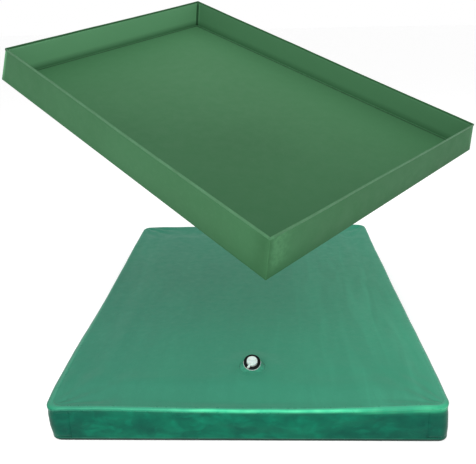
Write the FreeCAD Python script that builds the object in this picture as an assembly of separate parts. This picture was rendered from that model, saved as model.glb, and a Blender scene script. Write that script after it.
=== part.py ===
"""Water mattress with its stand-up liner: a filled vinyl bladder on the floor, and an open
tray of thinner vinyl held above it, tilted towards the foot end.

Units are millimetres and degrees. +Z is up and +Y runs from the foot end to the head end.
The origin is on the floor under the middle of the mattress.
"""
import FreeCAD, Part
import math
import os

Vector = FreeCAD.Vector
UP = Vector(0, 0, 1)

# ---- mattress ---------------------------------------------------------------------------
MATTRESS_WIDTH = 1524.0
MATTRESS_LENGTH = 2134.0
MATTRESS_HEIGHT = 165.0
CORNER_RADIUS = 45.0
SKIN = 0.6                     # mattress vinyl, 0.5 mm sheet with its embossing
SEAM_THICK = 1.2               # lap weld, two sheets thick
TOP_SEAM_TALL = 20.0
BOTTOM_SEAM_TALL = 12.0
FLOOR_GAP = 0.6                # trim stays this far above the floor
PATCH_REACH = 90.0             # corner patch, along each side
PATCH_THICK = 0.6

# ---- fill valve, which leans towards the foot end on a soft cone ---------------------------
VALVE_X = 17.0                 # middle of the valve's seat
VALVE_Y = -795.0
VALVE_LEAN = 27.0              # from upright, towards the foot end
SEAT_LOW_SIDE = 4.0            # the seat's low side above the top sheet
CONE_BASE_RADIUS = 54.0
CONE_TOP_RADIUS = 35.5
CONE_BASE_SHIFT = 6.0          # the cone's base lies this far behind the seat's middle
PATCH_RING_WIDTH = 12.0        # flat weld round the cone's base
PATCH_RING_THICK = 0.8
# Heights below count from the seat, along the valve's own axis.
FLANGE_RADIUS = 36.5
FLANGE_THICK = 2.8
NECK_OUTER = 19.0
NECK_BORE = 14.5
NECK_ABOVE = 11.5
NECK_BELOW = 12.0
LIP_RADIUS = 17.0              # plug lip, sunk flush in the neck's rim
LIP_THICK = 2.0
PLUG_GAP = 0.3
PLUG_WALL = 2.5
PLUG_ROOF = 2.0
LOOP_LENGTH = 20.0
LOOP_WIDTH = 5.0
LOOP_LEG = 4.0
LOOP_BAR = 1.5
LOOP_HEADROOM = 1.0            # under the cap's roof
RING_INNER = 24.0
RING_OUTER = 35.0
RING_TALL = 9.0
RING_ROUND = 2.5
CAP_OUTER = 22.0
CAP_INNER = 19.5
CAP_SKIRT_BOTTOM = 3.6
CAP_TOP = 18.5
CAP_ROOF = 2.5
CAP_ROUND = 1.5
KNURLS = 24
KNURL_RADIUS = 1.3
KNURL_OFFSET = 0.4             # knurl centres stand outside the skirt
KNURL_BELOW_TOP = 5.0
ROOF_RINGS = (17.0, 10.0)      # outer radii of the raised rings on the roof
ROOF_RING_WIDTH = 1.8
ROOF_RING_TALL = 0.9
GASKET_INNER = 17.4
GASKET_OUTER = 19.1
THREAD_STARTS = (4.5, 8.0)
THREAD_TALL = 1.6
THREAD_DEPTH = 0.7
TAB_LENGTH = 12.0              # from the cap's skirt to the hole in its tip
TAB_WIDTH = 9.0
TAB_THICK = 1.8
TAB_HOLE = 1.8
TAB_CLEAR = 1.0                # over the guard ring
TAB_HEADING = -118.0

# ---- liner ------------------------------------------------------------------------------
LINER_WIDTH = 1524.0
LINER_LENGTH = 2134.0
LINER_HEIGHT = 185.0
LINER_SKIN = 0.8
HEM_TALL = 14.0
HEM_THICK = 1.6
CORNER_WELD = 12.0
FLOOR_WELD = 10.0
WELD_THICK = 0.8
WELD_GAP = 1.0                 # between the ends of neighbouring welds and hems

# The liner's lowest corner, and how the tray is turned from lying square on the floor.
LINER_CORNER = Vector(82.0, -781.0, 566.0)
LINER_HEADING = 46.1           # turn about the vertical
LINER_TILT = 20.6              # then tipped about a level line
TILT_LINE = 16.6               # that line's direction, from +X


def box(x0, y0, z0, x1, y1, z1):
    """Block between two opposite corners."""
    return Part.makeBox(x1 - x0, y1 - y0, z1 - z0, Vector(x0, y0, z0))


def rounded_slab(grow, bottom, top):
    """Slab in the mattress's plan outline, grown outwards, with rounded upright edges."""
    half_w = MATTRESS_WIDTH / 2 + grow
    half_l = MATTRESS_LENGTH / 2 + grow
    block = box(-half_w, -half_l, bottom, half_w, half_l, top)
    upright = [e for e in block.Edges if abs(e.Vertexes[0].Z - e.Vertexes[1].Z) > 0.1]
    return block.makeFillet(CORNER_RADIUS + grow, upright)


def ring_band(outer, inner, bottom, top):
    """Band round the mattress between two plan outlines."""
    return rounded_slab(outer, bottom, top).cut(rounded_slab(inner, bottom - 1, top + 1))


def disc(radius, bottom, top):
    """Upright cylinder on the Z axis."""
    return Part.makeCylinder(radius, top - bottom, Vector(0, 0, bottom), UP)


def tube(outer, inner, bottom, top):
    """Upright washer or tube on the Z axis."""
    return disc(outer, bottom, top).cut(disc(inner, bottom - 1, top + 1))


def edges_at(shape, height):
    """The shape's edges that lie level at a height."""
    return [e for e in shape.Edges if abs(e.BoundBox.ZMin - height) < 0.01 and e.BoundBox.ZLength < 0.01]


def seat_placement():
    """Where the valve's seat is, and how it leans."""
    low_side = MATTRESS_HEIGHT + SEAT_LOW_SIDE
    height = low_side + FLANGE_RADIUS * math.sin(math.radians(VALVE_LEAN))
    return FreeCAD.Placement(Vector(VALVE_X, VALVE_Y, height), FreeCAD.Rotation(Vector(1, 0, 0), VALVE_LEAN))


def seated(shape):
    """A valve piece, built upright on zero, moved to the leaning seat."""
    placed = shape.copy()
    placed.Placement = seat_placement()
    return placed


# ---- mattress pieces --------------------------------------------------------------------
def bottom_sheet():
    return rounded_slab(-SEAM_THICK, 0, SKIN)


def top_sheet():
    sheet = rounded_slab(-SEAM_THICK, MATTRESS_HEIGHT - SKIN, MATTRESS_HEIGHT)
    return sheet.cut(fill_way())


def side_band():
    return ring_band(-SEAM_THICK, -SEAM_THICK - SKIN, SKIN, MATTRESS_HEIGHT - SKIN)


def top_seam():
    return ring_band(0, -SEAM_THICK, MATTRESS_HEIGHT - TOP_SEAM_TALL, MATTRESS_HEIGHT)


def bottom_seam():
    return ring_band(0, -SEAM_THICK, FLOOR_GAP, BOTTOM_SEAM_TALL)


def corner_patch(side_x, side_y):
    """Second layer of vinyl wrapped round one upright edge, between the two seams."""
    bottom = BOTTOM_SEAM_TALL + WELD_GAP
    top = MATTRESS_HEIGHT - TOP_SEAM_TALL - WELD_GAP
    band = ring_band(PATCH_THICK - SEAM_THICK, -SEAM_THICK, bottom, top)
    corner_x = side_x * MATTRESS_WIDTH / 2
    corner_y = side_y * MATTRESS_LENGTH / 2
    keep = box(
        corner_x - PATCH_REACH, corner_y - PATCH_REACH, 0,
        corner_x + PATCH_REACH, corner_y + PATCH_REACH, MATTRESS_HEIGHT,
    )
    return band.common(keep)


def water_fill():
    return rounded_slab(-SEAM_THICK - SKIN, SKIN, MATTRESS_HEIGHT - SKIN)


# ---- valve pieces -----------------------------------------------------------------------
def cone_base():
    """Middle of the cone's base on the top sheet."""
    return Vector(VALVE_X, VALVE_Y + CONE_BASE_SHIFT, MATTRESS_HEIGHT)


def fill_way():
    """The straight way from the neck's bore down to the water."""
    return seated(disc(NECK_BORE, -2 * CONE_BASE_RADIUS, 0))


def valve_patch():
    """Flat ring that welds the cone to the top sheet."""
    outer = CONE_BASE_RADIUS + PATCH_RING_WIDTH
    ring = tube(outer, CONE_BASE_RADIUS, 0, PATCH_RING_THICK)
    ring.translate(cone_base())
    return ring


def valve_cone():
    """Soft cone between the top sheet and the leaning flange."""
    base = Part.Wire(Part.makeCircle(CONE_BASE_RADIUS))
    base.translate(cone_base())
    top = Part.Wire(Part.makeCircle(CONE_TOP_RADIUS))
    top.Placement = seat_placement()
    cone = Part.makeLoft([base, top], True, True)
    neck = seated(disc(NECK_OUTER, -NECK_BELOW, 1))
    return cone.cut(neck).cut(fill_way())


def valve_body():
    """Flange and neck in one moulding, with an outside thread and a seat for the plug."""
    body = disc(FLANGE_RADIUS, 0, FLANGE_THICK)
    body = body.fuse(disc(NECK_OUTER - THREAD_DEPTH, 0, NECK_ABOVE))
    body = body.fuse(disc(NECK_OUTER, -NECK_BELOW, FLANGE_THICK))
    for start in THREAD_STARTS:
        body = body.fuse(disc(NECK_OUTER, start, start + THREAD_TALL))
    body = body.cut(disc(NECK_BORE, -NECK_BELOW - 1, NECK_ABOVE + 1))
    lip_seat = disc(LIP_RADIUS + PLUG_GAP, NECK_ABOVE - LIP_THICK, NECK_ABOVE + 1)
    return seated(body.cut(lip_seat).removeSplitter())


def valve_ring():
    """Dark guard ring round the cap, with a rounded upper edge."""
    top = FLANGE_THICK + RING_TALL
    ring = tube(RING_OUTER, RING_INNER, FLANGE_THICK, top)
    return seated(ring.makeFillet(RING_ROUND, edges_at(ring, top)))


def valve_plug():
    """Stopper pushed into the neck: a hollow body under a lip."""
    radius = NECK_BORE - PLUG_GAP
    lip_bottom = NECK_ABOVE - LIP_THICK
    body = disc(radius, 0, lip_bottom)
    hollow = disc(radius - PLUG_WALL, -1, lip_bottom - PLUG_ROOF)
    lip = disc(LIP_RADIUS, lip_bottom, NECK_ABOVE)
    return seated(body.cut(hollow).fuse(lip).removeSplitter())


def plug_loop():
    """Finger loop standing on the plug."""
    top = CAP_TOP - CAP_ROOF - LOOP_HEADROOM
    half = LOOP_LENGTH / 2
    eye = half - LOOP_LEG
    loop = box(-half, -LOOP_WIDTH / 2, NECK_ABOVE, half, LOOP_WIDTH / 2, top)
    return seated(loop.cut(box(-eye, -LOOP_WIDTH, NECK_ABOVE, eye, LOOP_WIDTH, top - LOOP_BAR)))


def valve_cap():
    """Screw cap: knurled skirt, flat roof with raised rings."""
    cap = disc(CAP_OUTER, CAP_SKIRT_BOTTOM, CAP_TOP)
    cap = cap.makeFillet(CAP_ROUND, edges_at(cap, CAP_TOP))
    cap = cap.cut(disc(CAP_INNER, CAP_SKIRT_BOTTOM - 1, CAP_TOP - CAP_ROOF))
    reach = CAP_OUTER + KNURL_OFFSET
    for number in range(KNURLS):
        angle = 2 * math.pi * number / KNURLS
        groove = disc(KNURL_RADIUS, CAP_SKIRT_BOTTOM - 1, CAP_TOP - KNURL_BELOW_TOP)
        groove.translate(Vector(reach * math.cos(angle), reach * math.sin(angle), 0))
        cap = cap.cut(groove)
    for outer in ROOF_RINGS:
        cap = cap.fuse(tube(outer, outer - ROOF_RING_WIDTH, CAP_TOP - 0.5, CAP_TOP + ROOF_RING_TALL))
    return seated(cap)


def cap_gasket():
    """Sealing washer that lies on the neck's rim, outside the plug's lip."""
    return seated(tube(GASKET_OUTER, GASKET_INNER, NECK_ABOVE, CAP_TOP - CAP_ROOF))


def cap_tab():
    """Strip off the cap's skirt that reaches out over the guard ring."""
    low = FLANGE_THICK + RING_TALL + TAB_CLEAR
    high = low + TAB_THICK
    tip_x = CAP_OUTER + TAB_LENGTH
    strip = box(CAP_OUTER - 1, -TAB_WIDTH / 2, low, tip_x, TAB_WIDTH / 2, high)
    tip = disc(TAB_WIDTH / 2, low, high)
    tip.translate(Vector(tip_x, 0, 0))
    hole = disc(TAB_HOLE, low - 1, high + 1)
    hole.translate(Vector(tip_x, 0, 0))
    tab = strip.fuse(tip).cut(hole).removeSplitter()
    tab.rotate(Vector(0, 0, 0), UP, TAB_HEADING)
    return seated(tab.cut(disc(CAP_OUTER, low - 1, high + 1)))


# ---- liner pieces, square on the floor with the lowest corner at the origin ---------------
def liner_floor():
    return box(0, 0, 0, LINER_WIDTH, LINER_LENGTH, LINER_SKIN)


def along_side(side, inset, thick, bottom, top, trim):
    """Upright strip along one side: inset from the outside, shortened by trim at each end."""
    near = inset
    far = inset + thick
    if side == "foot":
        return box(trim, near, bottom, LINER_WIDTH - trim, far, top)
    if side == "head":
        return box(trim, LINER_LENGTH - far, bottom, LINER_WIDTH - trim, LINER_LENGTH - near, top)
    if side == "left":
        return box(near, trim, bottom, far, LINER_LENGTH - trim, top)
    return box(LINER_WIDTH - far, trim, bottom, LINER_WIDTH - near, LINER_LENGTH - trim, top)


def liner_wall(side):
    trim = 0 if side in ("foot", "head") else LINER_SKIN
    return along_side(side, 0, LINER_SKIN, LINER_SKIN, LINER_HEIGHT, trim)


def rim_hem(side):
    """Folded-over edge: a channel over the wall's rim."""
    trim = 0 if side in ("foot", "head") else LINER_SKIN + HEM_THICK
    inside = along_side(
        side, LINER_SKIN, HEM_THICK, LINER_HEIGHT - HEM_TALL, LINER_HEIGHT + HEM_THICK,
        trim if trim else LINER_SKIN,
    )
    cover = along_side(side, 0, LINER_SKIN, LINER_HEIGHT, LINER_HEIGHT + HEM_THICK, trim)
    return inside.fuse(cover).removeSplitter()


def corner_weld(at_right, at_head):
    """Weld strip in one upright corner, on the inside of the two walls."""
    bottom = LINER_SKIN + WELD_THICK
    top = LINER_HEIGHT - HEM_TALL - WELD_GAP
    far = LINER_SKIN + CORNER_WELD
    block = box(LINER_SKIN, LINER_SKIN, bottom, far, far, top)
    hollow = box(
        LINER_SKIN + WELD_THICK, LINER_SKIN + WELD_THICK, bottom - 1, far + 1, far + 1, top + 1
    )
    weld = block.cut(hollow)
    if at_right:
        weld = weld.mirror(Vector(LINER_WIDTH / 2, 0, 0), Vector(1, 0, 0))
    if at_head:
        weld = weld.mirror(Vector(0, LINER_LENGTH / 2, 0), Vector(0, 1, 0))
    return weld


def floor_weld():
    """Flat weld strip on the floor, along the foot of all four walls."""
    outer = box(
        LINER_SKIN, LINER_SKIN, LINER_SKIN,
        LINER_WIDTH - LINER_SKIN, LINER_LENGTH - LINER_SKIN, LINER_SKIN + WELD_THICK,
    )
    reach = LINER_SKIN + FLOOR_WELD
    return outer.cut(box(reach, reach, 0, LINER_WIDTH - reach, LINER_LENGTH - reach, 5))


def place_liner(shape):
    """Turn, tip and lift a liner piece into its place above the mattress."""
    tip_line = Vector(math.cos(math.radians(TILT_LINE)), math.sin(math.radians(TILT_LINE)), 0)
    turn = FreeCAD.Rotation(UP, LINER_HEADING)
    tip = FreeCAD.Rotation(tip_line, LINER_TILT)
    placed = shape.copy()
    placed.Placement = FreeCAD.Placement(LINER_CORNER, tip.multiply(turn))
    return placed


def save(name, shape):
    """Write one node and report what it is."""
    if not shape.isValid():
        raise RuntimeError(name + " isn't a valid shape")
    shape.exportStep(os.path.join("parts", name + ".step"))
    print(f"{name:28s} solids {len(shape.Solids)}  volume {shape.Volume / 1000:12.2f} cm3")


def main():
    os.makedirs("parts", exist_ok=True)
    pieces = [
        bottom_sheet, top_sheet, side_band, top_seam, bottom_seam, water_fill,
        valve_patch, valve_cone, valve_body, valve_ring, valve_plug, plug_loop, valve_cap, cap_gasket,
        cap_tab,
    ]
    for make in pieces:
        save(make.__name__, make())
    for end, side_y in (("foot", -1), ("head", 1)):
        for hand, side_x in (("left", -1), ("right", 1)):
            save(f"corner_patch_{end}_{hand}", corner_patch(side_x, side_y))
            weld = corner_weld(side_x > 0, side_y > 0)
            save(f"liner_corner_weld_{end}_{hand}", place_liner(weld))
    save("liner_floor", place_liner(liner_floor()))
    save("liner_floor_weld", place_liner(floor_weld()))
    for side in ("foot", "head", "left", "right"):
        save(f"liner_wall_{side}", place_liner(liner_wall(side)))
        save(f"liner_rim_hem_{side}", place_liner(rim_hem(side)))


main()
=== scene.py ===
"""Looks of the water mattress and its stand-up liner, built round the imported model. Metres."""
import math

import bpy
import numpy as np
from mathutils import Matrix, Vector, noise


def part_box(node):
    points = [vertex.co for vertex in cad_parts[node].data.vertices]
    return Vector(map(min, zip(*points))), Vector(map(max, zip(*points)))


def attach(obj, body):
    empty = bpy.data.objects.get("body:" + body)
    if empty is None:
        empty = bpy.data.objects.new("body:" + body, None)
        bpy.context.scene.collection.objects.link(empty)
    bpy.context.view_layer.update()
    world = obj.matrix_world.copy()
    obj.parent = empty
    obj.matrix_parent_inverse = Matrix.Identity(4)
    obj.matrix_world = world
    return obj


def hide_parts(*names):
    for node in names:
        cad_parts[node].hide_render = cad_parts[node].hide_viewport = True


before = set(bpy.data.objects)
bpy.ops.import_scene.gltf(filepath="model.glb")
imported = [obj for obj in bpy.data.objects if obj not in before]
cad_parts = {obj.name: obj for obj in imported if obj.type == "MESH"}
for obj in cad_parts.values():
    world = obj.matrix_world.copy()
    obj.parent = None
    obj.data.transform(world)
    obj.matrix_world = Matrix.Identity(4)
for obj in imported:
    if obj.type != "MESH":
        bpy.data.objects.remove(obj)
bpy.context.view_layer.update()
scene = bpy.context.scene

# ---- camera -------------------------------------------------------------------------------
CAMERA_PLACE = Vector((0.072, -3.121, 1.567))
CAMERA_YAW = -2.48             # degrees, to the left of +Y
CAMERA_PITCH = 19.06           # degrees below level
CAMERA_ROLL = -1.37
LENS = 48.18
SENSOR = 36.0

# ---- mattress, measured from the frame ------------------------------------------------------
HALF_WIDTH, HALF_LENGTH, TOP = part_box("top_seam")[1]
VALVE_LOW, VALVE_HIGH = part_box("valve_patch")
VALVE_X = (VALVE_LOW[0] + VALVE_HIGH[0]) / 2
VALVE_Y = (VALVE_LOW[1] + VALVE_HIGH[1]) / 2
PATCH_RADIUS = (VALVE_HIGH[0] - VALVE_LOW[0]) / 2
PATCH_RING_WIDTH = 0.012       # flat ring of the patch, round the cone's foot
CONE_RADIUS = PATCH_RADIUS - PATCH_RING_WIDTH
CONE_SHIFT = 0.006             # the seat's middle lies this far in front of the cone's
SEAT_RADIUS = 0.0355
SEAT_LEAN = math.radians(27)   # of the valve, towards the foot end
SEAT_LOW_SIDE = 0.004          # the seat's low side above the top
FLANGE_RADIUS = 0.0365
SEAT_HEIGHT = TOP + SEAT_LOW_SIDE + FLANGE_RADIUS * math.sin(SEAT_LEAN)
SEAT = Vector((VALVE_X, VALVE_Y - CONE_SHIFT, SEAT_HEIGHT))
PLAN_RADIUS = 0.050
EDGE_ROUND = 0.012             # of the bladder's top edge
FOOT_ROUND = 0.008             # of its bottom edge
SKIN_INSET = 0.005             # the bladder's outline stands this far inside the seam's
SKIN_CELL = 0.014              # of the bladder's mesh
WATER_DROP = 0.005             # the top lies this far below its edge roll
# The side's darker colour, which starts here, is painted shade.
SIDE_START = 0.55              # share of the edge's turn where the side's colour starts
CORNER_PATCH_REACH = 0.09      # along each side from the corner
CORNER_PATCH_LOW = 0.016
CORNER_PATCH_HIGH = TOP - 0.024
# Painted contact shadow: near-black colour along the line where the mattress meets the floor.
FOOT_PAINTED_SHADOW = (0.0008, 0.010, 0.007)   # colour along the line where the mattress meets the floor
TINY = 1e-9                    # lengths below this count as nothing

# ---- liner ----------------------------------------------------------------------------------
LINER_THICK = 0.0012
LINER_CREASE = 0.005
LINER_CELL = 0.026             # of the sheet's mesh
HEM_TALL = 0.013
HEM_THICK = 0.0034
HEM_ROUND = 0.0016
HEM_OUTSIDE = 0.0011           # the hem stands this far outside the wall
HEM_ABOVE = 0.0012             # and this far above it
WELD_THICK = 0.0009
WELD_SUNK = 0.0006             # welded strips reach this far into the sheet
WELD_LEG = 0.012               # of the corner strips, on each wall
WALL_ZONE = 0.03               # points this near to a side or the floor move with it
# How far the corners of the soft tray stray from a true box, along its own width, length and
# height: first at the floor, then at the rim.
FOOT_LEFT_STRAY = ((-0.014, -0.007, -0.008), (0.002, 0.011, 0.012))
FOOT_RIGHT_STRAY = ((0.021, -0.008, 0.012), (-0.014, 0.003, -0.010))
HEAD_LEFT_STRAY = ((-0.004, 0.012, 0.007), (0.035, -0.022, 0.013))
HEAD_RIGHT_STRAY = ((-0.030, 0.026, -0.005), (-0.033, 0.018, -0.015))

# ---- light ----------------------------------------------------------------------------------
SURROUND_LIGHT = 0.72
KEY_POWER = 190
OVERHEAD_POWER = 60
STAGE_RADIUS = 60.0
STAGE_DROP = 0.0005            # below the mattress's underside, so that they don't coincide
STAGE_GLOW = 0.35


# ---- small mesh helpers -----------------------------------------------------------------------
def new_object(name, points, faces):
    """Smooth-shaded mesh object from arrays of points and faces."""
    mesh = bpy.data.meshes.new(name)
    mesh.from_pydata(np.asarray(points).tolist(), [], [tuple(int(i) for i in f) for f in faces])
    mesh.validate()
    mesh.polygons.foreach_set("use_smooth", [True] * len(mesh.polygons))
    mesh.update()
    obj = bpy.data.objects.new(name, mesh)
    scene.collection.objects.link(obj)
    return obj


def box_grid(xs, ys, zs, lid=True):
    """Points and quads on the faces of a block, cut at the given lines; lid closes the top."""
    index = {}
    points = []
    last_x, last_y, last_z = len(xs) - 1, len(ys) - 1, len(zs) - 1

    def at(i, j, k):
        if (i, j, k) not in index:
            index[i, j, k] = len(points)
            points.append((xs[i], ys[j], zs[k]))
        return index[i, j, k]

    faces = []
    for i in range(last_x):
        for j in range(last_y):
            square = ((i, j), (i, j + 1), (i + 1, j + 1), (i + 1, j))
            faces.append([at(a, b, 0) for a, b in square])
            if lid:
                faces.append([at(a, b, last_z) for a, b in reversed(square)])
    for k in range(last_z):
        for i in range(last_x):
            square = ((i, k), (i + 1, k), (i + 1, k + 1), (i, k + 1))
            faces.append([at(a, 0, b) for a, b in square])
            faces.append([at(a, last_y, b) for a, b in reversed(square)])
        for j in range(last_y):
            square = ((j, k), (j, k + 1), (j + 1, k + 1), (j + 1, k))
            faces.append([at(0, a, b) for a, b in square])
            faces.append([at(last_x, a, b) for a, b in reversed(square)])
    return np.array(points), faces


def loop_grid(rows, closed_along=True, closed_across=True):
    """Points and quads of a band: rows of points across, one row per step along."""
    count, width = len(rows), len(rows[0])
    points = np.concatenate(rows)
    faces = []
    for a in range(count if closed_along else count - 1):
        b = (a + 1) % count
        for c in range(width if closed_across else width - 1):
            d = (c + 1) % width
            faces.append((a * width + c, b * width + c, b * width + d, a * width + d))
    if not closed_along:
        faces.append(list(range(width)))
        faces.append([(count - 1) * width + c for c in reversed(range(width))])
    return points, faces


def lines(low, high, cell, margin, steps):
    """Cut lines from low to high: fine within the margin at both ends, about a cell apart between."""
    fine = [margin * n / steps for n in range(steps)]
    count = max(2, round((high - low - 2 * margin) / cell))
    middle = np.linspace(low + margin, high - margin, count + 1)
    return [low + f for f in fine] + list(middle) + [high - f for f in reversed(fine)]


def wave(points, scale, seed, stretch=(1, 1, 1)):
    """Smooth noise from about -1 to 1 at every point, with scale waves per metre."""
    shift = Vector((seed * 17.3, seed * 5.1, seed * 9.7))
    factor = [scale * s for s in stretch]
    spots = np.asarray(points) * factor
    return np.array([noise.noise(Vector(p) + shift) for p in spots])


def ramp(value, low, high):
    """0 below low, 1 above high, smooth between them."""
    t = np.clip((value - low) / (high - low), 0, 1)
    return t * t * (3 - 2 * t)


def bump_at(value, centre, width):
    """1 at the centre, falling away on both sides over the width."""
    return np.exp(-((value - centre) / width) ** 2)


def add_attribute(obj, name, values):
    """Store one number per vertex for a material to read."""
    layer = obj.data.attributes.new(name, "FLOAT", "POINT")
    layer.data.foreach_set("value", np.asarray(values, dtype=np.float32))


# ---- the mattress's surface ---------------------------------------------------------------------
def side_relief(spots, height):
    """How far the side stands out of its outline: bulge, roll under the top edge, soft folds, and
    the slump of the two corners at the foot end."""
    share = np.clip(height / TOP, 0, 1)
    belly = np.sin(np.pi * share)
    roll = 0.0032 * bump_at(height, TOP - 0.008, 0.014)
    pinch = -0.0018 * bump_at(height, TOP - 0.036, 0.010)
    long_folds = 0.0034 * wave(spots, 4.0, 3, (1, 1, 4.0))
    short_folds = 0.0026 * wave(spots, 13.0, 4, (1, 1, 1.5)) + 0.0013 * wave(spots, 34.0, 12)
    tuck = -0.003 * (1 - share) ** 2
    at_foot = ramp(-spots[:, 1], -0.2, 0.9)
    arc_start, arc_end = HALF_WIDTH - PLAN_RADIUS, HALF_WIDTH - 0.012
    left_slump = ramp(-spots[:, 0], arc_start, arc_end) * at_foot * (0.014 + 0.006 * share)
    right_slump = ramp(spots[:, 0], arc_start, arc_end) * at_foot * (0.016 - 0.010 * share)
    slump = left_slump + right_slump
    return 0.003 * belly + roll + pinch + tuck + slump + (long_folds + short_folds) * belly


def edge_wander(spots):
    """How the roll along the top edge rises and falls."""
    return 0.0045 * wave(spots, 2.6, 1, (1, 1, 0)) + 0.0022 * wave(spots, 10.0, 2, (1, 1, 0))


def foot_sag(spots):
    """How far the top edge sinks along the foot end, most in the middle and least at the right."""
    x = spots[:, 0]
    depth = 0.010 + 0.013 * bump_at(x, 0.0, 0.42) - 0.006 * ramp(x, 0.30, 0.65)
    return depth * ramp(-spots[:, 1], HALF_LENGTH - 0.17, HALF_LENGTH)


def top_relief(spots, inward):
    """Height of the top skin: a drop behind the roll, puckers at the corners and soft folds."""
    x, y = spots[:, 0], spots[:, 1]
    near_x = HALF_WIDTH - np.abs(x)
    near_y = HALF_LENGTH - np.abs(y)
    corner = np.hypot(near_x, near_y)
    fan = np.sin(np.arctan2(near_y, near_x) * 15 + 3.5 * wave(spots, 5.0, 5))
    pucker = 0.0060 * fan * np.exp(-corner / 0.15) * ramp(corner, 0.015, 0.08)
    long_folds = 0.0060 * wave(spots, 11.0, 6, (1, 0.12, 1)) * bump_at(near_x, 0.13, 0.13)
    cross_folds = 0.0045 * wave(spots, 9.0, 7, (0.16, 1, 1)) * bump_at(near_y, 0.15, 0.13)
    calm = 0.0026 * wave(spots, 1.7, 8) + 0.0014 * wave(spots, 5.5, 9, (1, 0.4, 1))
    relief = pucker + long_folds + cross_folds + calm - WATER_DROP
    valve = np.hypot(x - VALVE_X, y - VALVE_Y)
    turn = np.arctan2(y - VALVE_Y, x - VALVE_X)
    spokes = np.sin(turn * 9 + 2 * wave(spots, 9.0, 10)) * bump_at(valve, PATCH_RADIUS + 0.035, 0.025)
    relief = (relief + 0.0010 * spokes) * ramp(valve, PATCH_RADIUS, PATCH_RADIUS + 0.09)
    return relief * ramp(inward, 0.002, 0.055)


def edge_shine(flat, inward):
    """Painted highlight where the vinyl along the foot edge catches the light: thin and faint at the left,
    thin and bright in the middle, broad and softer at the right."""
    x = flat[:, 0]
    drop = np.where(inward > 0.001, -inward, TOP - flat[:, 2])
    waver = 0.5 + 0.5 * wave(flat, 9.0, 31, (1, 0, 0))
    broad = ramp(x, 0.22, 0.62)
    width = 0.003 + 0.003 * waver + 0.002 * ramp(x, -0.5, -0.1) + 0.010 * broad
    centre = 0.006 + 0.007 * broad + 0.003 * wave(flat, 5.0, 32, (1, 0, 0))
    flicker = 0.20 * wave(flat, 7.0, 33, (1, 0, 0))
    power = 0.22 + 0.78 * ramp(x, -0.50, -0.05) - 0.60 * broad + flicker
    at_foot = ramp(-flat[:, 1], HALF_LENGTH - 0.06, HALF_LENGTH - 0.015)
    fade = np.exp(-np.abs((drop - centre) / width) ** 3)
    return np.clip(power, 0, 1) * fade * at_foot


def skin(core, out, reach, height, lift=0.0):
    """Points of the bladder's skin. core and out are the outline's arc centres and directions,
    reach is how far outwards of the core, height is measured up the flat-sided shape, and lift
    raises the point off the skin. Also returns the point before the relief, its distance inwards
    and how far it faces sideways, for the material."""
    above = np.clip(height - (TOP - EDGE_ROUND), 0, EDGE_ROUND)
    below = np.clip(FOOT_ROUND - height, 0, FOOT_ROUND)
    out_part = reach.copy()
    z = height.copy()
    for rise, size, sign in ((above, EDGE_ROUND, 1), (below, FOOT_ROUND, -1)):
        over = np.clip(reach - (PLAN_RADIUS - size), 0, size)
        both = (over > TINY) & (rise > TINY)
        scale = np.where(both, np.maximum(over, rise) / np.maximum(np.hypot(over, rise), TINY), 1)
        out_part = np.where(both, PLAN_RADIUS - size + over * scale, out_part)
        z = np.where(both, z + sign * (rise * scale - rise), z)
    flat = np.column_stack([core + out * out_part[:, None], z])
    inward = np.where(
        reach > TINY,
        PLAN_RADIUS - reach,
        np.minimum(HALF_WIDTH - np.abs(flat[:, 0]), HALF_LENGTH - np.abs(flat[:, 1])),
    )
    sideways = np.clip((out_part - (PLAN_RADIUS - EDGE_ROUND)) / EDGE_ROUND, 0, 1)
    upwards = np.clip((z - (TOP - EDGE_ROUND)) / EDGE_ROUND, 0, 1)
    push = side_relief(flat, z) * sideways + lift * sideways
    rise = top_relief(flat, inward) * upwards + lift * upwards
    stir = edge_wander(flat) * bump_at(inward, 0, 0.030) - foot_sag(flat)
    rise = rise + stir * ramp(z, TOP * 0.25, TOP)
    placed = flat + np.column_stack([out * push[:, None], rise])
    return placed, flat, inward, sideways


def make_bladder():
    """The filled vinyl bag: bottom, side band and top in one closed skin."""
    half_w, half_l = HALF_WIDTH - SKIN_INSET, HALF_LENGTH - SKIN_INSET
    xs = lines(-half_w, half_w, SKIN_CELL, PLAN_RADIUS, 10)
    ys = lines(-half_l, half_l, SKIN_CELL, PLAN_RADIUS, 10)
    points, faces = box_grid(xs, ys, lines(0, TOP, SKIN_CELL * 0.8, EDGE_ROUND, 4))
    core = np.column_stack([
        np.clip(points[:, 0], PLAN_RADIUS - half_w, half_w - PLAN_RADIUS),
        np.clip(points[:, 1], PLAN_RADIUS - half_l, half_l - PLAN_RADIUS),
    ])
    away = points[:, :2] - core
    length = np.hypot(away[:, 0], away[:, 1])
    reach = np.abs(away).max(axis=1)
    out = away / np.maximum(length, TINY)[:, None]
    placed, flat, inward, sideways = skin(core, out, reach, points[:, 2])
    on_bottom = points[:, 2] < 1e-6
    placed[on_bottom, 2] = 0.0
    placed[:, 2] = np.maximum(placed[:, 2], 0.0)
    obj = new_object("mattress_bladder", placed, faces)
    add_attribute(obj, "side", ramp(sideways, SIDE_START, 1.0))
    add_attribute(obj, "height", flat[:, 2] / TOP)
    add_attribute(obj, "shine", edge_shine(flat, inward))
    return obj


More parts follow.
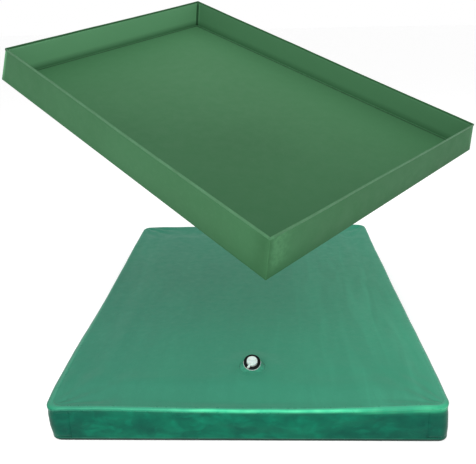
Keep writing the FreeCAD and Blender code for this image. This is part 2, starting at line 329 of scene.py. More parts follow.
def outline(step):
    """Arc centres and outward directions, evenly spaced round the bladder's plan."""
    half_w, half_l = HALF_WIDTH - SKIN_INSET, HALF_LENGTH - SKIN_INSET
    core_w, core_l = half_w - PLAN_RADIUS, half_l - PLAN_RADIUS
    core, out = [], []
    quarters = [(1, 1), (-1, 1), (-1, -1), (1, -1)]
    turns = 8
    for number, (sx, sy) in enumerate(quarters):
        centre = np.array([sx * core_w, sy * core_l])
        for n in range(turns + 1):
            angle = math.pi / 2 * (number + n / turns)
            core.append(centre)
            out.append((math.cos(angle), math.sin(angle)))
        nxt = quarters[(number + 1) % 4]
        target = np.array([nxt[0] * core_w, nxt[1] * core_l])
        count = round(np.linalg.norm(target - centre) / step)
        for n in range(1, count):
            core.append(centre + (target - centre) * n / count)
            out.append(out[-1])
    return np.array(core), np.array(out)


def skin_band(name, profile, keep=None):
    """Closed band of vinyl laid on the skin. profile is a ring of (inward, height, lift) points;
    keep says which stretch of the outline the band covers."""
    core, out = outline(0.012)
    columns = {"placed": [], "side": [], "height": [], "shine": []}
    for inward, height, lift in profile:
        reach = np.full(len(core), PLAN_RADIUS - inward)
        placed, flat, depth, sideways = skin(core, out, reach, np.full(len(core), height), lift)
        columns["placed"].append(placed)
        columns["side"].append(ramp(sideways, SIDE_START, 1.0))
        columns["height"].append(flat[:, 2] / TOP)
        columns["shine"].append(edge_shine(flat, depth))
    kept = list(range(len(core)))
    if keep:
        chosen = [n for n in kept if keep(core[n] + out[n] * PLAN_RADIUS)]
        start = next(n for n in chosen if (n - 1) % len(core) not in chosen)
        kept = sorted(chosen, key=lambda n: (n - start) % len(core))
    rows = {}
    for key, value in columns.items():
        rows[key] = [np.array([column[n] for column in value]) for n in kept]
    points, faces = loop_grid(rows["placed"], closed_along=keep is None)
    obj = new_object(name, points, faces)
    for key in ("side", "height", "shine"):
        add_attribute(obj, key, np.concatenate(rows[key]))
    return obj


def make_sleeve():
    """Soft vinyl cone between the top and the leaning valve's flange, puckered at its foot."""
    turns, steps = 96, 14
    lean = Matrix.Rotation(SEAT_LEAN, 3, "X")
    rows = []
    for n in range(turns):
        angle = 2 * math.pi * n / turns
        spoke = Vector((math.cos(angle), math.sin(angle), 0))
        foot = Vector((VALVE_X, VALVE_Y, TOP)) + spoke * CONE_RADIUS
        crown = SEAT + lean @ (spoke * SEAT_RADIUS)
        pucker = math.sin(angle * 11 + 2 * math.sin(angle * 2))
        row = []
        for step in range(steps + 1):
            t = step / steps
            spot = foot.lerp(crown, t)
            sag = math.sin(math.pi * t) * (0.10 * (crown - foot).length)
            spot = spot - spoke * sag * 0.5 + Vector((0, 0, -sag * 0.4))
            spot += (spoke + Vector((0, 0, 1))) * 0.0009 * pucker * math.sin(math.pi * t) ** 0.7
            spot.z = max(spot.z, TOP)
            row.append(tuple(spot))
        rows.append(np.array(row))
    points, faces = loop_grid(rows, closed_across=False)
    width = steps + 1
    faces.append([n * width + steps for n in range(turns)])
    faces.append([n * width for n in reversed(range(turns))])
    return new_object("valve_sleeve", points, faces)


# ---- the liner, built square with its lowest corner at zero and then put in place -----------------
def liner_frame():
    """The liner's inside size, and the matrix that puts it where the frame has it."""
    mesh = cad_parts["liner_floor"].data
    corners = np.unique(np.round([tuple(v.co) for v in mesh.vertices], 5), axis=0)
    start = corners[corners[:, 2].argmin()]
    edges = sorted((c - start for c in corners if np.linalg.norm(c - start) > 1e-4), key=np.linalg.norm)
    up = edges[0] / np.linalg.norm(edges[0])
    across = next(e for e in edges if np.linalg.norm(e) > 0.1)
    level = [e for e in edges if np.linalg.norm(e) > 0.1 and abs(e @ up) < 0.01]
    along = next(e for e in level if abs(e @ across) < 0.05)
    width, length = np.linalg.norm(across), np.linalg.norm(along)
    axes = np.column_stack([across / width, along / length, up])
    walls = np.array([tuple(v.co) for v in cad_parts["liner_wall_foot"].data.vertices])
    height = ((walls - start) @ up).max()
    place = Matrix([list(row) + [start[n]] for n, row in enumerate(axes)] + [[0, 0, 0, 1]])
    return width, length, height, place


LINER_WIDTH, LINER_LENGTH, LINER_HEIGHT, LINER_PLACE = liner_frame()


def liner_stray(points):
    """Blend the strays of the four corners over the whole tray."""
    across = np.clip(points[:, :1] / LINER_WIDTH, 0, 1)
    along = np.clip(points[:, 1:2] / LINER_LENGTH, 0, 1)
    up = np.clip(points[:, 2:] / LINER_HEIGHT, 0, 1)
    levels = []
    for level in (0, 1):
        foot = (1 - across) * FOOT_LEFT_STRAY[level] + across * FOOT_RIGHT_STRAY[level]
        head = (1 - across) * HEAD_LEFT_STRAY[level] + across * HEAD_RIGHT_STRAY[level]
        levels.append((1 - along) * foot + along * head)
    return (1 - up) * levels[0] + up * levels[1]


def liner_bend(points):
    """Let the walls and floor of the liner stray and waver a little, as thin vinyl does."""
    x, y, z = points.T
    up = np.clip(z / LINER_HEIGHT, 0, 1.05)
    window_y = np.sin(np.pi * np.clip(y / LINER_LENGTH, 0, 1)) ** 0.6
    window_x = np.sin(np.pi * np.clip(x / LINER_WIDTH, 0, 1)) ** 0.6
    sway = 0.0065 * wave(points, 1.3, 21) + 0.0016 * wave(points, 6.0, 22)
    at_left = np.clip(1 - x / WALL_ZONE, 0, 1)
    at_right = np.clip(1 - (LINER_WIDTH - x) / WALL_ZONE, 0, 1)
    at_foot = np.clip(1 - y / WALL_ZONE, 0, 1)
    at_head = np.clip(1 - (LINER_LENGTH - y) / WALL_ZONE, 0, 1)
    shift_x = sway * window_y * (at_left + at_right)
    shift_y = sway * window_x * (at_foot + at_head)
    inner = np.minimum(np.minimum(x, LINER_WIDTH - x), np.minimum(y, LINER_LENGTH - y))
    settle = 0.0028 * wave(points, 1.5, 23) + 0.0009 * wave(points, 5.0, 24)
    lift = settle * ramp(inner, 0.01, 0.12) * (z < WALL_ZONE)
    on_walls = window_x * (at_foot + at_head) + window_y * (at_left + at_right)
    dip = -0.0030 * up * (0.5 + 0.5 * wave(points, 1.1, 25)) * on_walls
    waver = np.column_stack([shift_x * up, shift_y * up, lift + dip * up])
    return points + liner_stray(points) + waver


def put_liner(obj):
    """Bend and place a liner piece."""
    mesh = obj.data
    points = np.array([tuple(v.co) for v in mesh.vertices])
    placed = liner_bend(points)
    mesh.vertices.foreach_set("co", placed.ravel())
    mesh.transform(LINER_PLACE)
    mesh.update()


def thicken(obj, thick):
    """Turn a single-sided sheet into a closed one, inwards."""
    shell = obj.modifiers.new("thickness", "SOLIDIFY")
    shell.thickness = thick
    shell.offset = -1
    graph = bpy.context.evaluated_depsgraph_get()
    mesh = bpy.data.meshes.new_from_object(obj.evaluated_get(graph))
    obj.modifiers.clear()
    obj.data = mesh


def make_liner_sheet():
    """Floor and four walls, folded up out of one sheet."""
    r = LINER_CREASE
    xs = lines(0, LINER_WIDTH, LINER_CELL, r, 3)
    ys = lines(0, LINER_LENGTH, LINER_CELL, r, 3)
    zs = [r * n / 3 for n in range(3)] + list(np.linspace(r, LINER_HEIGHT, 9))
    points, faces = box_grid(xs, ys, zs, lid=False)
    low = np.array([r, r, r])
    high = np.array([LINER_WIDTH - r, LINER_LENGTH - r, LINER_HEIGHT + 1])
    core = np.clip(points, low, high)
    away = points - core
    length = np.linalg.norm(away, axis=1)
    longest = np.abs(away).max(axis=1)
    points = core + away * (longest / np.maximum(length, TINY))[:, None]
    obj = new_object("liner_sheet", points, faces)
    thicken(obj, LINER_THICK)
    x, y, z = np.array([tuple(v.co) for v in obj.data.vertices]).T
    to_right, to_head = LINER_WIDTH - x, LINER_LENGTH - y
    rise = np.clip(z / LINER_HEIGHT, 0, 1)
    add_attribute(obj, "rise", rise)
    add_attribute(obj, "edge", np.minimum(np.minimum(x, to_right), np.minimum(y, to_head)))
    add_attribute(obj, "foot_corner", np.hypot(1.3 * x, 0.9 * y))
    above_floor = ramp(z, 0.0, 0.05)
    # Painted light: mask that makes the inside of the head wall, and less so the right wall, paler above
    # the floor.
    head_wall = ramp(to_head, LINER_THICK * 0.4, LINER_THICK * 0.8) * ramp(to_head, 0.030, 0.002)
    right_wall = ramp(to_right, LINER_THICK * 0.4, LINER_THICK * 0.8) * ramp(to_right, 0.030, 0.002)
    add_attribute(obj, "painted_far_light", np.maximum(head_wall, 0.40 * right_wall) * above_floor)
    on_left, on_foot = ramp(x, 0.02, 0.0), ramp(y, 0.02, 0.0)
    low = ramp(rise, 0.55, 0.0)
    left_dark = on_left * (1.4 * bump_at(y, 0.0, 0.07) + 0.5 * low * bump_at(y, 0.0, 0.9))
    corner_dark = ramp(np.hypot(x, y), 0.018, 0.006)
    add_attribute(obj, "shade", np.clip(left_dark + 0.5 * on_foot * low + corner_dark, 0, 1))
    # Painted highlight on the foot wall just right of the near corner.
    add_attribute(obj, "painted_highlight", on_foot * bump_at(x, 0.05, 0.06) * ramp(rise, 0.05, 0.35))
    put_liner(obj)
    return obj


def liner_sides():
    """For each side: its name, start corner, direction along it, way in, and length."""
    w, l = LINER_WIDTH, LINER_LENGTH
    return [
        ("foot", (0, 0), (1, 0), (0, 1), w),
        ("right", (w, 0), (0, 1), (-1, 0), l),
        ("head", (w, l), (-1, 0), (0, -1), w),
        ("left", (0, l), (0, -1), (1, 0), l),
    ]


def side_strip(name, side, section, step=0.03):
    """Closed strip along one side of the liner, mitred at both corners. section is a ring of
    (inwards, height) points."""
    _, start, along, inwards, length = side
    start, along, inwards = (np.array(v, dtype=float) for v in (start, along, inwards))
    count = round(length / step)
    rows = []
    for n in range(count + 1):
        row = []
        for depth, height in section:
            reach = depth + (length - 2 * depth) * n / count
            spot = start + along * reach + inwards * depth
            row.append((spot[0], spot[1], height))
        rows.append(np.array(row))
    points, faces = loop_grid(rows, closed_along=False)
    obj = new_object(name, points, faces)
    put_liner(obj)
    return obj


def rounded_section(near, far, low, high, radius, steps=4):
    """Ring of points round a rectangle with rounded corners, near to far going inwards
    and low to high going up."""
    ring = []
    centres = [(far - radius, high - radius, 0), (near + radius, high - radius, 1),
               (near + radius, low + radius, 2), (far - radius, low + radius, 3)]
    for cx, cy, quarter in centres:
        for n in range(steps + 1):
            angle = math.pi / 2 * (quarter + n / steps)
            ring.append((cx + radius * math.cos(angle), cy + radius * math.sin(angle)))
    return ring


def make_liner_trim():
    """Rim hems, the flat weld round the floor and the upright corner welds."""
    pieces = {"hems": [], "floor": [], "corners": []}
    top = LINER_HEIGHT + HEM_ABOVE
    hem = rounded_section(-HEM_OUTSIDE, HEM_THICK - HEM_OUTSIDE, top - HEM_TALL, top, HEM_ROUND)
    low, high = LINER_THICK - WELD_SUNK, LINER_THICK + WELD_THICK
    flat = rounded_section(0.004, 0.015, low, high, 0.0006, 2)
    for side in liner_sides():
        hem_piece = side_strip("rim_hem_" + side[0], side, hem)
        # Painted highlight: the near hems, on the foot and left sides, get the paler colour.
        lit_hem = side[0] in ("foot", "left")
        add_attribute(hem_piece, "painted_highlight", np.full(len(hem_piece.data.vertices), float(lit_hem)))
        pieces["hems"].append(hem_piece)
        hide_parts("liner_rim_hem_" + side[0])
        pieces["floor"].append(side_strip("floor_weld_" + side[0], side, flat))
    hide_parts("liner_floor_weld")
    ends = {"foot": 0, "head": 1}
    hands = {"left": 0, "right": 1}
    for end, at_head in ends.items():
        for hand, at_right in hands.items():
            piece = corner_bead(f"corner_weld_{end}_{hand}", at_right, at_head)
            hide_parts(f"liner_corner_weld_{end}_{hand}")
            pieces["corners"].append(piece)
    return pieces


def corner_bead(name, at_right, at_head):
    """Welded strip folded into one upright corner, on the inside."""
    r = LINER_CREASE
    outer_radius, inner_depth = r - WELD_SUNK, LINER_THICK + WELD_THICK
    inner_radius = r - inner_depth
    inner, outer = [], []
    for n in range(9):
        angle = math.pi + math.pi / 2 * n / 8
        c, s = math.cos(angle), math.sin(angle)
        outer.append((r + outer_radius * c, r + outer_radius * s))
        inner.append((r + inner_radius * c, r + inner_radius * s))
    outer = [(WELD_SUNK, WELD_LEG)] + outer + [(WELD_LEG, WELD_SUNK)]
    inner = [(inner_depth, WELD_LEG)] + inner + [(WELD_LEG, inner_depth)]
    ring = outer + inner[::-1]
    rows = []
    levels = np.linspace(0.004, LINER_HEIGHT - HEM_TALL, 10)
    for level in levels:
        row = []
        for a, b in ring:
            x = LINER_WIDTH - a if at_right else a
            y = LINER_LENGTH - b if at_head else b
            row.append((x, y, level))
        rows.append(np.array(row))
    points, faces = loop_grid(rows, closed_along=False)
    obj = new_object(name, points, faces)
    put_liner(obj)
    return obj


# ---- materials -------------------------------------------------------------------------------------
# Colours are linear red, green and blue. Noise and cell scales count per metre.
class Paint:
    """A node material with short calls for the nodes that these materials use."""

    def __init__(self, name, roughness, specular=0.5):
        self.mat = bpy.data.materials.new(name)
        self.mat.use_nodes = True
        self.tree = self.mat.node_tree
        self.shader = self.tree.nodes["Principled BSDF"]
        self.shader.inputs["Roughness"].default_value = roughness
        self.shader.inputs["Specular IOR Level"].default_value = specular
        self.coords = self.tree.nodes.new("ShaderNodeTexCoord").outputs["Object"]

    def node(self, kind, **values):
        """New shader node with its settings."""
        node = self.tree.nodes.new("ShaderNode" + kind)
        for key, value in values.items():
            setattr(node, key, value)
        return node

    def link(self, source, target):
        """Join two sockets."""
        self.tree.links.new(source, target)

    def stretched(self, stretch):
        """Coordinates scaled per axis."""
        mapping = self.node("Mapping")
        mapping.inputs["Scale"].default_value = stretch
        self.link(self.coords, mapping.inputs["Vector"])
        return mapping.outputs["Vector"]

    def noise(self, scale, detail=3.0, stretch=None, swirl=0.0):
        """Soft noise from 0 to 1."""
        node = self.node("TexNoise")
        node.inputs["Distortion"].default_value = swirl
        node.inputs["Scale"].default_value = scale
        node.inputs["Detail"].default_value = detail
        self.link(self.stretched(stretch) if stretch else self.coords, node.inputs["Vector"])
        return node.outputs["Fac"]

    def cells(self, scale):
        """Distance to the nearest of many scattered points."""
        node = self.node("TexVoronoi")
        node.inputs["Scale"].default_value = scale
        self.link(self.coords, node.inputs["Vector"])
        return node.outputs["Distance"]

    def position(self, axis):
        """One coordinate of the point."""
        split = self.node("SeparateXYZ")
        self.link(self.coords, split.inputs[0])
        return split.outputs[axis]

    def attribute(self, name):
        """Number stored on the mesh."""
        return self.node("Attribute", attribute_name=name).outputs["Fac"]

    def remap(self, source, low, high, to_low=0.0, to_high=1.0):
        """Low to high becomes to_low to to_high, clamped at both ends."""
        node = self.node("MapRange", clamp=True)
        for key, value in (("From Min", low), ("From Max", high), ("To Min", to_low), ("To Max", to_high)):
            node.inputs[key].default_value = value
        self.link(source, node.inputs["Value"])
        return node.outputs["Result"]

    def math(self, operation, a, b):
        """Result of the named operation on two sockets or numbers."""
        node = self.node("Math", operation=operation)
        for number, value in enumerate((a, b)):
            if isinstance(value, (int, float)):
                node.inputs[number].default_value = value
            else:
                self.link(value, node.inputs[number])
        return node.outputs[0]

    def mix(self, factor, a, b):
        """Colour a where the factor is 0, colour b where it is 1."""
        node = self.node("Mix", data_type="RGBA")
        self.link(factor, node.inputs[0])
        for number, value in ((6, a), (7, b)):
            if isinstance(value, tuple):
                node.inputs[number].default_value = (*value, 1)
            else:
                self.link(value, node.inputs[number])
        return node.outputs[2]

    def colour(self, source):
        """Set the base colour."""
        self.link(source, self.shader.inputs["Base Color"])

    def roughness(self, source):
        """Set the roughness."""
        self.link(source, self.shader.inputs["Roughness"])

    def bumps(self, layers):
        """layers: (height socket, strength, distance in metres), coarse first."""
        normal = None
        for height, strength, distance in layers:
            bump = self.node("Bump")
            bump.inputs["Strength"].default_value = strength
            bump.inputs["Distance"].default_value = distance
            self.link(height, bump.inputs["Height"])
            if normal:
                self.link(normal, bump.inputs["Normal"])
            normal = bump.outputs["Normal"]
        self.link(normal, self.shader.inputs["Normal"])


def teal(paint):
    """The mattress's colour: clouded on top, lighter and streaked towards the right with painted light and
    painted sheen, darker towards the foot end; a blotched side band darkened with painted shade and lifted
    by painted light near the floor; a painted highlight along the foot edge and a painted contact shadow
    where it meets the floor."""
    across, along = paint.position("X"), paint.position("Y")
    # Painted light: the top gets lighter from left to right.
    top = paint.mix(paint.remap(across, -0.70, 0.75), (0.034, 0.196, 0.126), (0.044, 0.272, 0.164))
    cloudy = paint.noise(2.2, 4.0, (1.0, 0.5, 1.0))
    top = paint.mix(paint.remap(cloudy, 0.40, 0.70, 0.0, 0.5), top, (0.040, 0.262, 0.156))
    specks = paint.noise(45.0, 5.0, (1.0, 0.6, 1.0))
    top = paint.mix(paint.remap(specks, 0.50, 0.80, 0.0, 0.2), top, (0.055, 0.320, 0.205))
    # Painted sheen: soft light streaks along the top, stronger towards the right.
    sheen_streaks = paint.remap(paint.noise(9.0, 6.0, (1.6, 0.22, 1.0), 1.0), 0.42, 0.70)
    reach = paint.remap(across, 0.10, 0.50, 0.08, 0.42)
    top = paint.mix(paint.math("MULTIPLY", sheen_streaks, reach), top, (0.058, 0.360, 0.220))
    # Painted highlight along the right edge of the top.
    top = paint.mix(paint.remap(across, 0.70, 0.745, 0.0, 0.35), top, (0.080, 0.330, 0.215))
    top = paint.mix(paint.remap(along, -1.05, -0.50, 0.40, 0.0), top, (0.037, 0.180, 0.116))
    top = paint.mix(paint.remap(along, 0.20, 0.95, 0.0, 0.5), top, (0.016, 0.245, 0.150))
    # Painted shade: the side band is much darker than the top; its blotches and creases are random tone.
    blotches = paint.noise(9.0, 9.0, (1.0, 1.0, 1.4), 0.2)
    side = paint.mix(paint.remap(blotches, 0.34, 0.66), (0.0008, 0.054, 0.035), (0.0016, 0.108, 0.060))
    creases = paint.noise(20.0, 8.0, (0.7, 0.7, 1.3), 0.5)
    side = paint.mix(paint.remap(creases, 0.50, 0.74, 0.0, 0.6), side, (0.002, 0.170, 0.094))
    # Painted light: the side gets lighter towards its bottom.
    painted_bottom_light = paint.remap(paint.attribute("height"), 0.30, 0.02, 0.0, 0.3)
    side = paint.mix(painted_bottom_light, side, (0.004, 0.120, 0.070))
    # Painted shade: the side darkens towards both ends of the mattress.
    painted_left_shade = paint.remap(across, -0.76, -0.50, 0.5, 0.0)
    painted_right_shade = paint.remap(across, 0.25, 0.70, 0.0, 0.45)
    side = paint.mix(paint.math("MAXIMUM", painted_left_shade, painted_right_shade), side, (0.001, 0.046, 0.031))
    body = paint.mix(paint.attribute("side"), top, side)
    # Painted highlight along the foot edge, laid over the body colour by the shine mask.
    patchy = paint.noise(14.0, 4.0)
    bright = paint.mix(paint.remap(patchy, 0.35, 0.65), (0.025, 0.400, 0.200), (0.072, 0.560, 0.275))
    body = paint.mix(paint.attribute("shine"), body, bright)
    # Painted contact shadow along the mattress's foot.
    return paint.mix(foot_shadow(paint), body, FOOT_PAINTED_SHADOW)


def foot_shadow(paint):
    """Mask of the painted contact shadow: 1 along the mattress's very foot, fading out above it."""
    return paint.remap(paint.position("Z"), 0.008, 0.015, 0.95, 0.0)


def mattress_vinyl():
    """Glossy teal vinyl with a fine embossed grain."""
    paint = Paint("mattress_vinyl", 0.4, 0.13)
    paint.shader.inputs["Specular Tint"].default_value = (0.55, 1.0, 0.85, 1)
    paint.colour(teal(paint))
    paint.roughness(paint.remap(paint.noise(26.0, 5.0), 0.3, 0.75, 0.30, 0.46))
    crumple = paint.noise(30.0, 5.0, (1.0, 0.8, 1.0), 1.2)
    paint.bumps([(crumple, 0.35, 0.003), (paint.noise(700.0, 2.0), 0.10, 0.0004)])
    return paint.mat


def seam_vinyl():
    """Welded vinyl: lightened in patches as a painted highlight along the welded ridge, and glossier, with
    the weld bar's fine ribs.
    """
    paint = Paint("seam_vinyl", 0.3, 0.3)
    paint.shader.inputs["Specular Tint"].default_value = (0.45, 1.0, 0.80, 1)
    # Painted highlight: the welds are lightened in patches towards a bright green.
    patches = paint.remap(paint.noise(12.0, 4.0), 0.3, 0.7, 0.08, 0.22)
    welded = paint.mix(patches, teal(paint), (0.060, 0.420, 0.250))
    # Painted contact shadow at the bottom weld's foot.
    paint.colour(paint.mix(foot_shadow(paint), welded, FOOT_PAINTED_SHADOW))
    paint.roughness(paint.remap(paint.noise(40.0, 4.0), 0.3, 0.7, 0.22, 0.40))
    paint.bumps([(paint.noise(60.0, 2.0), 0.25, 0.0015), (paint.cells(420.0), 0.18, 0.0006)])
    return paint.mat


def liner_vinyl():
    """Matte mid-green vinyl, with painted shade along its folds, in its low corner and at the near corner,
    and painted light on the inside of the two far walls, at the high end of the floor and on the foot wall
    by the near corner."""
    paint = Paint("liner_vinyl", 0.58, 0.07)
    paint.shader.inputs["Specular Tint"].default_value = (0.75, 1.0, 0.80, 1)
    broad = paint.noise(1.6, 3.0)
    base = paint.mix(paint.remap(broad, 0.35, 0.65), (0.040, 0.126, 0.055), (0.044, 0.138, 0.061))
    mottle = paint.noise(55.0, 5.0)
    base = paint.mix(paint.remap(mottle, 0.50, 0.78, 0.0, 0.35), base, (0.054, 0.158, 0.071))
    rise, edge = paint.attribute("rise"), paint.attribute("edge")
    # Painted shade: darker along the fold between floor and walls.
    from_fold = paint.math("MAXIMUM", paint.math("MULTIPLY", rise, LINER_HEIGHT), edge)
    fold = paint.remap(from_fold, 0.002, 0.045, 0.5, 0.0)
    base = paint.mix(fold, base, (0.030, 0.110, 0.045))
    # Painted light on the inside of the far walls.
    painted_wall_light = paint.attribute("painted_far_light")
    base = paint.mix(painted_wall_light, base, (0.126, 0.325, 0.166))
    # Painted highlight by the near corner, broken up by the mottle.
    painted_highlight = paint.math("MULTIPLY", paint.attribute("painted_highlight"), paint.remap(mottle, 0.35, 0.62, 0.3, 1.2))
    base = paint.mix(painted_highlight, base, (0.062, 0.180, 0.082))
    shade = paint.math("MULTIPLY", paint.attribute("shade"), 0.5)
    base = paint.mix(shade, base, (0.022, 0.078, 0.030))
    # Painted shade on the floor near the low foot corner, painted light towards its high far end.
    on_floor = paint.remap(rise, 0.0, 0.05, 1.0, 0.0)
    painted_low_shade = paint.remap(paint.attribute("foot_corner"), 0.25, 1.5, 0.9, 0.0)
    base = paint.mix(paint.math("MULTIPLY", painted_low_shade, on_floor), base, (0.030, 0.104, 0.045))
    painted_high_light = paint.remap(paint.attribute("foot_corner"), 1.1, 2.4, 0.0, 1.0)
    base = paint.mix(paint.math("MULTIPLY", painted_high_light, on_floor), base, (0.066, 0.200, 0.090))
    paint.colour(base)
    paint.roughness(paint.remap(paint.noise(18.0, 4.0), 0.3, 0.7, 0.48, 0.62))
    paint.bumps([(paint.noise(24.0, 3.0), 0.10, 0.002), (paint.cells(520.0), 0.10, 0.0004)])
    return paint.mat


def liner_hem():
    """The liner's folded rim: paler on the foot and left sides, a painted highlight along the near rim."""
    paint = Paint("liner_hem", 0.45, 0.16)
    patches = paint.remap(paint.noise(14.0, 4.0), 0.3, 0.7)
    painted_highlight = paint.mix(patches, (0.045, 0.136, 0.061), (0.060, 0.170, 0.081))
    plain_hem = paint.mix(patches, (0.038, 0.122, 0.052), (0.044, 0.138, 0.060))
    paint.colour(paint.mix(paint.attribute("painted_highlight"), plain_hem, painted_highlight))
    paint.roughness(paint.remap(paint.noise(60.0, 3.0), 0.3, 0.7, 0.36, 0.50))
    paint.bumps([(paint.noise(90.0, 3.0), 0.2, 0.001), (paint.cells(520.0), 0.12, 0.0004)])
    return paint.mat


def liner_weld():
    """Heat-welded strip: flatter and glossier than the sheet, finely ribbed, and dark as painted shade in
    the creases it lines.
    """
    paint = Paint("liner_weld", 0.45, 0.12)
    patches = paint.remap(paint.noise(20.0, 4.0), 0.3, 0.7)
    paint.colour(paint.mix(patches, (0.024, 0.080, 0.033), (0.031, 0.100, 0.043)))
    paint.roughness(paint.remap(paint.noise(80.0, 3.0), 0.3, 0.7, 0.34, 0.48))
    paint.bumps([(paint.cells(380.0), 0.20, 0.0005)])
    return paint.mat


def valve_plastic():
    """White moulded plastic, slightly see-through at its thin parts, with handling marks."""
    paint = Paint("valve_plastic", 0.3, 0.5)
    marks = paint.remap(paint.noise(90.0, 4.0), 0.4, 0.8)
    paint.colour(paint.mix(marks, (0.56, 0.66, 0.62), (0.34, 0.43, 0.40)))
    paint.roughness(paint.remap(paint.noise(240.0, 3.0), 0.3, 0.7, 0.22, 0.42))
    paint.bumps([(paint.noise(320.0, 3.0), 0.12, 0.0005)])
    paint.shader.inputs["Subsurface Weight"].default_value = 0.12
    paint.shader.inputs["Subsurface Scale"].default_value = 0.004
    return paint.mat


def dark_rubber(name, light):
    """Black rubber with a dusty bloom."""
    paint = Paint(name, 0.5, 0.12)
    bloom = paint.remap(paint.noise(160.0, 5.0), 0.45, 0.8)
    paint.colour(paint.mix(bloom, (0.002, 0.004, 0.0035), (light, light, light)))
    paint.roughness(paint.remap(paint.noise(200.0, 3.0), 0.3, 0.7, 0.38, 0.62))
    paint.bumps([(paint.noise(500.0, 3.0), 0.2, 0.0004)])
    return paint.mat


def stage_paint():
    """Pale matt floor, faintly lit from itself so that it reads as white."""
    paint = Paint("stage_paint", 0.85, 0.1)
    paint.colour(paint.mix(paint.noise(0.6, 2.0), (0.86, 0.86, 0.86), (0.88, 0.88, 0.88)))
    paint.shader.inputs["Emission Color"].default_value = (1, 1, 1, 1)
    paint.shader.inputs["Emission Strength"].default_value = STAGE_GLOW
    return paint.mat


def dress(obj, material):
    """Give an object one material."""
    obj.data.materials.clear()
    obj.data.materials.append(material)


# ---- the pieces ---------------------------------------------------------------------------------------
SEAM_PAINT = seam_vinyl()
MATTRESS_PAINT = mattress_vinyl()
LINER_PAINT, HEM_PAINT, WELD_PAINT = liner_vinyl(), liner_hem(), liner_weld()
PLASTIC_PAINT = valve_plastic()
RING_PAINT, GASKET_PAINT = dark_rubber("ring_rubber", 0.008), dark_rubber("gasket_rubber", 0.12)


def band_profile(stations, lift, sunk=-0.0012):
    """Ring of profile points: out along the stations at the lift, and back under the skin."""
    last = len(stations) - 1
    upper = [(a, b, lift if 0 < n < last else lift * 0.3) for n, (a, b) in enumerate(stations)]
    return upper + [(a, b, sunk) for a, b in reversed(stations)]


def build_mattress():
    """The bladder, its two welds, the valve's sleeve and the corner patches."""
    bladder = make_bladder()
    dress(bladder, MATTRESS_PAINT)
    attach(bladder, "mattress")
    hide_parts("top_sheet", "side_band", "bottom_sheet", "water_fill")

    roll = [(0.010, TOP), (0.006, TOP), (0.002, TOP), (0, TOP), (0, TOP - 0.003), (0, TOP - 0.007),
            (0, TOP - 0.012), (0, TOP - 0.017)]
    top_weld = skin_band("top_weld", band_profile(roll, 0.0008))
    foot = [(0, 0.014), (0, 0.011), (0, 0.007), (0, 0.004), (0, 0.0015)]
    bottom_weld = skin_band("bottom_weld", band_profile(foot, 0.0012))
    for weld, node in ((top_weld, "top_seam"), (bottom_weld, "bottom_seam")):
        dress(weld, SEAM_PAINT)
        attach(weld, "mattress")
        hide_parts(node)

    sleeve = make_sleeve()
    dress(sleeve, MATTRESS_PAINT)
    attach(sleeve, "mattress")
    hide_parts("valve_cone")

    tall = [(0, height) for height in np.linspace(CORNER_PATCH_HIGH, CORNER_PATCH_LOW, 11)]
    for end, side_y in (("foot", -1), ("head", 1)):
        for hand, side_x in (("left", -1), ("right", 1)):
            def near(spot):
                across = HALF_WIDTH - spot[0] * side_x
                along = HALF_LENGTH - spot[1] * side_y
                return max(across, along) < CORNER_PATCH_REACH
            patch = skin_band(f"corner_patch_{end}_{hand}_skin", band_profile(tall, 0.0005), near)
            dress(patch, MATTRESS_PAINT)
            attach(patch, "mattress")
            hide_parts(f"corner_patch_{end}_{hand}")


def build_liner():
    """The folded sheet with its hems and welds, which cast no shadow on the mattress."""
    sheet = make_liner_sheet()
    trim = make_liner_trim()
    dress(sheet, LINER_PAINT)
    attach(sheet, "liner")
    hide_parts("liner_floor", *(f"liner_wall_{s[0]}" for s in liner_sides()))
    for piece in trim["hems"]:
        dress(piece, HEM_PAINT)
    for piece in trim["floor"] + trim["corners"]:
        dress(piece, WELD_PAINT)
    extras = trim["hems"] + trim["floor"] + trim["corners"]
    for piece in extras:
        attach(piece, "liner")
    for piece in extras + [sheet]:
        piece.visible_shadow = False


def dress_valve():
    """The valve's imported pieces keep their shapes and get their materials."""
    paints = {
        "valve_body": PLASTIC_PAINT, "valve_plug": PLASTIC_PAINT, "plug_loop": PLASTIC_PAINT,
        "valve_cap": PLASTIC_PAINT, "cap_tab": PLASTIC_PAINT,
        "valve_ring": RING_PAINT, "cap_gasket": GASKET_PAINT, "valve_patch": MATTRESS_PAINT,
    }
    for node, paint in paints.items():
        dress(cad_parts[node], paint)


# ---- stage, light and camera ----------------------------------------------------------------------------
def build_stage():
    """Wide round floor."""
    count = 96
    angles = [2 * math.pi * n / count for n in range(count)]
    ring = [(STAGE_RADIUS * math.cos(a), STAGE_RADIUS * math.sin(a), -STAGE_DROP) for a in angles]
    floor = new_object("stage_floor", ring, [list(range(count))])
    dress(floor, stage_paint())


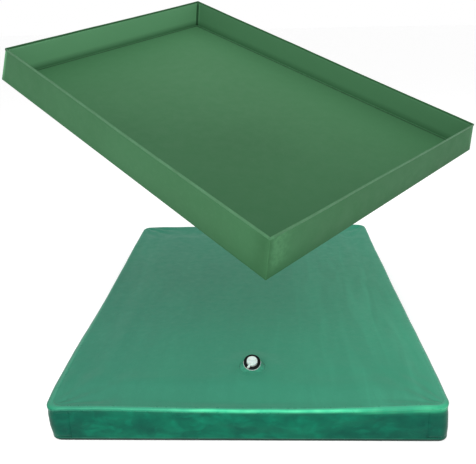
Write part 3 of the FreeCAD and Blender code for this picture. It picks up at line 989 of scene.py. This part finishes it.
def area_light(name, place, aim, size, power):
    """Soft rectangular lamp turned towards a point."""
    data = bpy.data.lights.new(name, "AREA")
    data.shape = "RECTANGLE"
    data.size, data.size_y = size
    data.energy = power
    lamp = bpy.data.objects.new(name, data)
    scene.collection.objects.link(lamp)
    lamp.location = place
    lamp.rotation_euler = (Vector(aim) - Vector(place)).to_track_quat("-Z", "Y").to_euler()


def build_light():
    """Even studio light: a pale surround, which the camera sees as white, and two large lamps."""
    world = bpy.data.worlds.new("studio")
    world.use_nodes = True
    nodes, links = world.node_tree.nodes, world.node_tree.links
    surround = nodes["Background"]
    surround.inputs["Color"].default_value = (1, 1, 1, 1)
    path = nodes.new("ShaderNodeLightPath")
    level = nodes.new("ShaderNodeMapRange")
    level.inputs["To Min"].default_value = SURROUND_LIGHT
    level.inputs["To Max"].default_value = 1.0
    links.new(path.outputs["Is Camera Ray"], level.inputs["Value"])
    links.new(level.outputs["Result"], surround.inputs["Strength"])
    scene.world = world
    area_light("key", (-0.5, -4.8, 2.6), (0, 0.1, 0.5), (3.6, 2.4), KEY_POWER)
    area_light("overhead", (0.6, 1.8, 5.2), (0, 0.2, 0.3), (4.5, 4.0), OVERHEAD_POWER)
    scene.view_settings.view_transform = "Standard"
    scene.view_settings.look = "None"


def build_camera():
    """Camera at its place, turned by its yaw, pitch and roll."""
    yaw, pitch, roll = (math.radians(v) for v in (CAMERA_YAW, CAMERA_PITCH, CAMERA_ROLL))
    ahead = Vector((math.sin(yaw) * math.cos(pitch), math.cos(yaw) * math.cos(pitch), -math.sin(pitch)))
    right = Vector((math.cos(yaw), -math.sin(yaw), 0))
    up = right.cross(ahead)
    side = right * math.cos(roll) + up * math.sin(roll)
    top = up * math.cos(roll) - right * math.sin(roll)
    data = bpy.data.cameras.new("camera")
    data.lens = LENS
    data.sensor_width = SENSOR
    camera = bpy.data.objects.new("camera", data)
    scene.collection.objects.link(camera)
    turned = Matrix((side, top, -ahead)).transposed().to_4x4()
    camera.matrix_world = Matrix.Translation(CAMERA_PLACE) @ turned
    scene.camera = camera


build_mattress()
build_liner()
dress_valve()
build_stage()
build_light()
build_camera()
